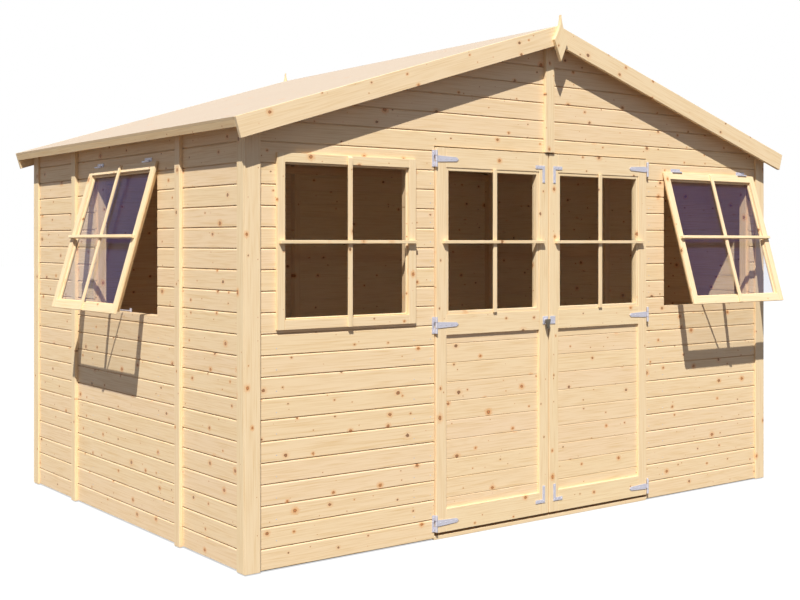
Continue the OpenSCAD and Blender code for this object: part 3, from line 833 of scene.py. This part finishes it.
def leaf(side, body, seed):
    """One leaf: side is -1 for the left, which is hung at -x, and 1 for the right."""
    work = Joinery()

    def stick(x0, x1, y0, y1, z0, z1, arris=0.0015, shape=None):
        work.stick((side * x0, y0, z0), (side * x1, y1, z1), arris, shape)

    x_out = outer_x - stile_face
    x_in = inner_x + stile_face
    stick(outer_x, x_out, leaf_front, leaf_back, leaf_bottom, leaf_top)
    stick(inner_x, x_in, leaf_front, leaf_back, leaf_bottom, leaf_top)
    stick(x_in, x_out, leaf_front, leaf_back, leaf_top - top_face, leaf_top)
    stick(x_in, x_out, leaf_front, leaf_back, panel_hi.z, pane_lo.z - door_bead)
    stick(x_in, x_out, leaf_front, leaf_back, leaf_bottom, panel_lo.z)
    # beads round the pane, set in from the faces of the frame
    y0 = leaf_front + bead_back
    y1 = leaf_back - bead_back
    low = pane_lo.z - door_bead
    high = leaf_top - top_face
    stick(x_out, x_out - door_bead, y0, y1, low, high, 0.002)
    stick(x_in, x_in + door_bead, y0, y1, low, high, 0.002)
    stick(x_in + door_bead, x_out - door_bead, y0, y1, low, pane_lo.z, 0.002)
    stick(x_in + door_bead, x_out - door_bead, y0, y1, pane_hi.z, high, 0.002)
    # bars planted across the outside
    bar_out = outer_x - door_bar_end
    bar_in = inner_x + door_bar_end
    stick(bar_in, bar_out, leaf_front - bar_proud, leaf_front, cross_z - bar_h / 2, cross_z + bar_h / 2)
    middle = (x_in + x_out) / 2
    half = upright_w / 2
    stick(middle - half, middle + half, leaf_front - upright_proud, leaf_front, cross_z + bar_h / 2, high)
    stick(middle - half, middle + half, leaf_front - upright_proud, leaf_front, low, cross_z - bar_h / 2)
    name = body + "_leaf"
    work.piece(name, trim_pine, body, "trim", [body + "_frame"])

    panel_t = panel_hi.y - panel_lo.y
    place = Matrix.Translation((0, panel_lo.y, 0))
    count = math.ceil((panel_hi.z - wall_base) / wall_pitch)
    left = min(side * x_in, side * x_out) - panel_tuck
    right = max(side * x_in, side * x_out) + panel_tuck
    bottom = panel_lo.z - panel_trim
    top = panel_hi.z + panel_trim
    panel = boards(tongued(wall_pitch, panel_t, 0.0016, 0.0016), left, right - left, wall_base,
                   wall_pitch, count, [prism([(left, bottom), (right, bottom), (right, top), (left, top)])],
                   [], seed, wall_pine, place)
    fitted(body + "_panel", panel, wall_pine, body, [body + "_boards"])


leaf(-1, "left_door", 31)
leaf(1, "right_door", 32)


# ---- Ironwork ----
# Bright zinc-plated steel: T-hinges, corner irons and the latch on the doors, butt hinges
# over the opening sashes and the stays that hold them out.

zinc, zinc_tree, zinc_shader = finish("zinc_plate")
skin = zinc_tree.node("ShaderNodeTexCoord", output="Object")
bloom = zinc_tree.noise(skin, 60.0, 4.0)
brushed = zinc_tree.noise(skin, 900.0, 2.0)
plated = zinc_tree.blend(bloom, (0.50, 0.485, 0.56, 1), (0.62, 0.61, 0.67, 1))
zinc_tree.feed(zinc_shader, {"Base Color": plated,
                             "Roughness": 0.40 + bloom * 0.25,
                             "Normal": zinc_tree.relief(brushed, 0.15, 0.0002)})
zinc_shader.inputs["Metallic"].default_value = 0.35

for node, body in (("hinge_plates", "shed"), ("left_door_hinges", "left_door"),
                   ("right_door_hinges", "right_door"), ("left_door_brackets", "left_door"),
                   ("right_door_brackets", "right_door"),
                   ("latch_keeper", "right_door"), ("window_hinges", "shed"), ("window_stays", "shed")):
    dressed(node, zinc, "ironwork", body, arris=0.0006, smooth=True)


# ---- Latch ----
# A zinc-plated plate on the left leaf, with a tapered dark handle on its spindle. The handle hangs down when
# the latch is shut; its dark colour and taper are partly a real lever and partly a painted shadow, the one
# the knob casts down the door.

keeper_lo, keeper_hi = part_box("latch_keeper")
latch_z = (keeper_lo.z + keeper_hi.z) / 2
iron_t = keeper_hi.y - keeper_lo.y
iron_face = keeper_lo.y
plate_edge_x = -0.044
spindle_x = -0.028
spindle_r = 0.006
spindle_end = iron_face - 0.016
collar_r = 0.010
collar_end = iron_face - 0.004
collar_inside = iron_face - 0.003

plate = Joinery()
plate.stick((-keeper_lo.x, iron_face, keeper_lo.z), (plate_edge_x, iron_face + iron_t, keeper_hi.z), 0.0006)
plate.rod((spindle_x, iron_face, latch_z), (spindle_x, collar_end, latch_z), collar_r, arris=0.001)
plate.rod((spindle_x, collar_inside, latch_z), (spindle_x, spindle_end, latch_z), spindle_r)
plate.piece("latch_plate", zinc, "left_door", "ironwork", ["door_latch"], smooth=True)

handle_finish, handle_tree, handle_shader = finish("dark_cast_metal")
skin = handle_tree.node("ShaderNodeTexCoord", output="Object")
pitting = handle_tree.noise(skin, 420.0, 3.0)
# partly painted shadow: the handle's near-black colour also stands in for the shadow that the knob casts
# below it
dark_and_painted_shadow = handle_tree.blend(pitting, (0.075, 0.062, 0.045, 1), (0.13, 0.11, 0.08, 1))
handle_tree.feed(handle_shader, {"Base Color": dark_and_painted_shadow,
                             "Roughness": 0.42 + pitting * 0.2,
                             "Normal": handle_tree.relief(pitting, 0.3, 0.0003)})

handle_back = iron_face - 0.015
handle_front = iron_face - 0.024
handle = Joinery()
taper = [(-0.017, 0.006), (0.017, 0.006), (0.015, -0.008), (0.005, -0.042), (-0.005, -0.042),
         (-0.015, -0.008)]
handle.plate([(spindle_x + x, latch_z + z) for x, z in taper], handle_back, handle_front, 0.002, 2)
handle.piece("latch_handle", handle_finish, "left_door", "ironwork", smooth=True)


# ---- Screws and nails ----
# Cross-headed zinc screws hold the ironwork, and small flat-headed nails the wall boards.
# Each lies on its own spot, turned by chance.

fixing, asked = planned("fixing", {"Places": "Geometry", "Radius": "Float", "Height": "Float",
                                   "Sides": "Int", "Crossed": "Bool", "Seed": "Int",
                                   "Finish": "Material"}, "Heads")

# a head, and the same head with a cross cut in it and a floor under the cross
radius = asked.other("Radius")
head = fixing.node("GeometryNodeMeshCone", {"fill_type": "NGON"},
                   {"Vertices": asked.other("Sides"), "Side Segments": 1, "Radius Top": radius * 0.72,
                    "Radius Bottom": radius, "Depth": asked.other("Height")})
slot_long = radius * 1.15
slot_wide = radius * 0.24
slots = [fixing.node("GeometryNodeMeshCube", None, {"Size": fixing.joined(x, y, radius * 4.0)})
         for x, y in ((slot_long, slot_wide), (slot_wide, slot_long))]
recessed = fixing.node("GeometryNodeMeshBoolean", {"operation": "DIFFERENCE", "solver": "EXACT"},
                       {"Mesh 1": head, "Mesh 2": slots})
floor_disc = fixing.node("GeometryNodeMeshCone", {"fill_type": "NGON"},
                         {"Vertices": asked.other("Sides"), "Side Segments": 1, "Radius Top": radius * 0.9,
                          "Radius Bottom": radius * 0.9, "Depth": asked.other("Height") * 0.35})
crossed = fixing.node("GeometryNodeJoinGeometry", None, {"Geometry": [recessed, floor_disc]})
head = fixing.node("GeometryNodeSwitch", {"input_type": "GEOMETRY"},
                   {"Switch": asked.other("Crossed"), "False": head, "True": crossed})

# set on each place, facing out and turned by chance
facing = fixing.node("GeometryNodeInputNamedAttribute", {"data_type": "FLOAT_VECTOR"},
                     {"Name": "facing"}, "Attribute")
turned = fixing.node("FunctionNodeAlignRotationToVector", {"axis": "Z"}, {"Vector": facing})
chance = fixing.node("FunctionNodeRandomValue", {"data_type": "FLOAT"},
                     {2: 0.0, 3: math.tau, "Seed": asked.other("Seed")}, 1)
spin = fixing.node("FunctionNodeEulerToRotation", None, {"Euler": fixing.joined(z=chance)})
turned = fixing.node("FunctionNodeRotateRotation", {"rotation_space": "LOCAL"},
                     {"Rotation": turned, "Rotate By": spin})
set_in = fixing.node("GeometryNodeInstanceOnPoints", None,
                     {"Points": asked.other("Places"), "Instance": head, "Rotation": turned})
whole = fixing.node("GeometryNodeRealizeInstances", None, {"Geometry": set_in})
coated = fixing.node("GeometryNodeSetMaterial", None, {"Geometry": whole, "Material": asked.other("Finish")})
fixing.node("NodeGroupOutput", None, {"Heads": coated})


def fixings(name, places, radius, height, sides, crossed, seed, body="shed"):
    """Screw or nail heads at places, each a point and the way that the head faces."""
    spots = bpy.data.meshes.new("spots")
    spots.from_pydata([point for point, _ in places], [], [])
    facing = spots.attributes.new("facing", "FLOAT_VECTOR", "POINT")
    for i, (_, way) in enumerate(places):
        facing.data[i].vector = way
    mesh = grown(fixing, spots, {"Radius": radius, "Height": height, "Sides": sides, "Crossed": crossed,
                                 "Seed": seed, "Finish": zinc})
    fitted(name, mesh, zinc, body)


forward = Vector((0, -1, 0))
sideways = Vector((-1, 0, 0))
hinge_x = outer_x + 0.003
hinge_heights = (leaf_bottom + 0.046, pane_lo.z - 0.063, leaf_top - 0.053)
door_iron_y = leaf_front - iron_t
wall_iron_y = -half_d - iron_t
strap_holes = (0.028, 0.060, 0.092, 0.122)
corner_inset = 0.0085
corner_up = (corner_inset, 0.045, 0.078)
corner_out = (0.033, 0.056)
latch_holes = (0.013, 0.037)
latch_up = (-0.014, 0.014)
for side, body in ((-1, "left_door"), (1, "right_door")):
    spots = [(side * (hinge_x - away), door_iron_y, z) for z in hinge_heights for away in strap_holes]
    corner_x = inner_x + 0.025
    for corner_z, way in ((leaf_bottom + 0.055, 1), (leaf_top - 0.061, -1)):
        spots += [(side * (corner_x + corner_inset), door_iron_y, corner_z + way * up)
                  for up in corner_up]
        spots += [(side * (corner_x + out), door_iron_y, corner_z + way * corner_inset)
                  for out in corner_out]
    spots += [(side * x, door_iron_y, latch_z + up) for x in latch_holes for up in latch_up]
    fixings(body + "_screws", [(spot, forward) for spot in spots], radius=0.0034, height=0.0012, sides=12,
            crossed=True, seed=5, body=body)

plate_holes = (-0.029, -0.010, 0.010, 0.029)
plate_screws = [((side * (hinge_x + 0.0095), wall_iron_y, z + up), forward)
                for side in (-1, 1) for z in hinge_heights for up in plate_holes]
butt_inset = 0.106
butt_holes = (-0.027, 0, 0.027)
butt_z = open_top + 0.013
open_middle = (open_lo.x + open_hi.x) / 2
side_middle = (side_lo.y + side_hi.y) / 2
for out in (-1, 1):
    for along in butt_holes:
        across = out * (open_w / 2 - butt_inset) + along
        plate_screws.append(((open_middle + across, wall_iron_y, butt_z), forward))
        plate_screws.append(((-half_w - iron_t, side_middle + across, butt_z), sideways))
fixings("plate_screws", plate_screws, radius=0.0030, height=0.0010, sides=12, crossed=True, seed=6)

# one nail to a board at the studs beside the doorway and beside each window below its sill, three tenths of
# the way up it
nail_rows = [wall_base + wall_pitch * (n + 0.3) for n in range(1, 19)]
stud = 0.045
lapped = 0.026
under_sills = open_top - open_h - 0.02
nails = []
for s in (-1, 1):
    nails += [((s * (doorway + stud / 2), -half_d, z), forward) for z in nail_rows]
    for low, high in ((fixed_lo, fixed_hi), (open_lo, open_hi)):
        x = (low.x + high.x) / 2 + s * ((high.x - low.x) / 2 - lapped + stud / 2)
        nails += [((x, -half_d, z), forward) for z in nail_rows if z < under_sills]
    y = side_middle + s * (open_w / 2 - lapped + stud / 2)
    nails += [((-half_w, y, z), sideways) for z in nail_rows if z < under_sills]
fixings("board_nails", nails, radius=0.0026, height=0.0008, sides=8, crossed=False, seed=7)


# ---- Stage ----
# A level pale floor, a white surround and the lamps of a plain studio.
# The key stands high at the front left; the surround fills the shadows.

camera = bpy.data.cameras.new("view")
camera.lens = 54.29
camera.sensor_width = 36.0
camera.shift_y = -0.0722
viewer = set_out("view", camera)
viewer.location = (-4.2558, -5.6305, 1.3945)
viewer.rotation_euler = (math.radians(90), 0, math.radians(-36.9615))
bpy.context.scene.camera = viewer

key = bpy.data.lights.new("key", "SUN")
key.energy = 5.3
key.angle = math.radians(0.53)
key.color = (1.0, 1.0, 0.97)
towards_sun = Vector((-0.409, -0.463, 0.786))
set_out("key", key).rotation_euler = towards_sun.to_track_quat("Z", "Y").to_euler()


def seen_directly(tree):
    """1 for rays that should meet the plain background, 0 for light on the object."""
    path = tree.node("ShaderNodeLightPath", output="Is Camera Ray")
    shown = tree.maths("MAXIMUM", path, path.other("Is Glossy Ray"))
    return tree.maths("MAXIMUM", shown, path.other("Is Transmission Ray"))


world = bpy.data.worlds.new("surround")
world.use_nodes = True
bpy.context.scene.world = world
air = Tree(world.node_tree)
fill = 0.27
shown = seen_directly(air)
white = (1, 1, 1, 1)
air.feed(world.node_tree.nodes["Background"], {"Color": air.blend(shown, (0.88, 0.96, 1.24, 1), white),
                                               "Strength": fill + (1.0 - fill) * shown})

floor_finish, floor_tree, floor_shader = finish("studio_floor")
floor_tree.group.nodes.remove(floor_shader)
seen = seen_directly(floor_tree)
matt = floor_tree.node("ShaderNodeBsdfDiffuse", None,
                       {"Color": floor_tree.blend(seen, (0.105, 0.09, 0.088, 1), (0.28, 0.28, 0.28, 1))})
glow = floor_tree.node("ShaderNodeEmission", None, {"Color": white, "Strength": 0.62 * seen})
both = floor_tree.node("ShaderNodeAddShader", None, {0: matt, 1: glow})
floor_tree.group.links.new(both.end, floor_tree.group.nodes["Material Output"].inputs["Surface"])
floor_mesh = bpy.data.meshes.new("studio_floor")
spread = 60.0
floor_z = -0.0005
floor_mesh.from_pydata([(-spread, -spread, floor_z), (spread, -spread, floor_z),
                        (spread, spread, floor_z), (-spread, spread, floor_z)], [], [(0, 1, 2, 3)])
floor_mesh.materials.append(floor_finish)
set_out("studio_floor", floor_mesh)

bpy.context.scene.view_settings.view_transform = "Standard"
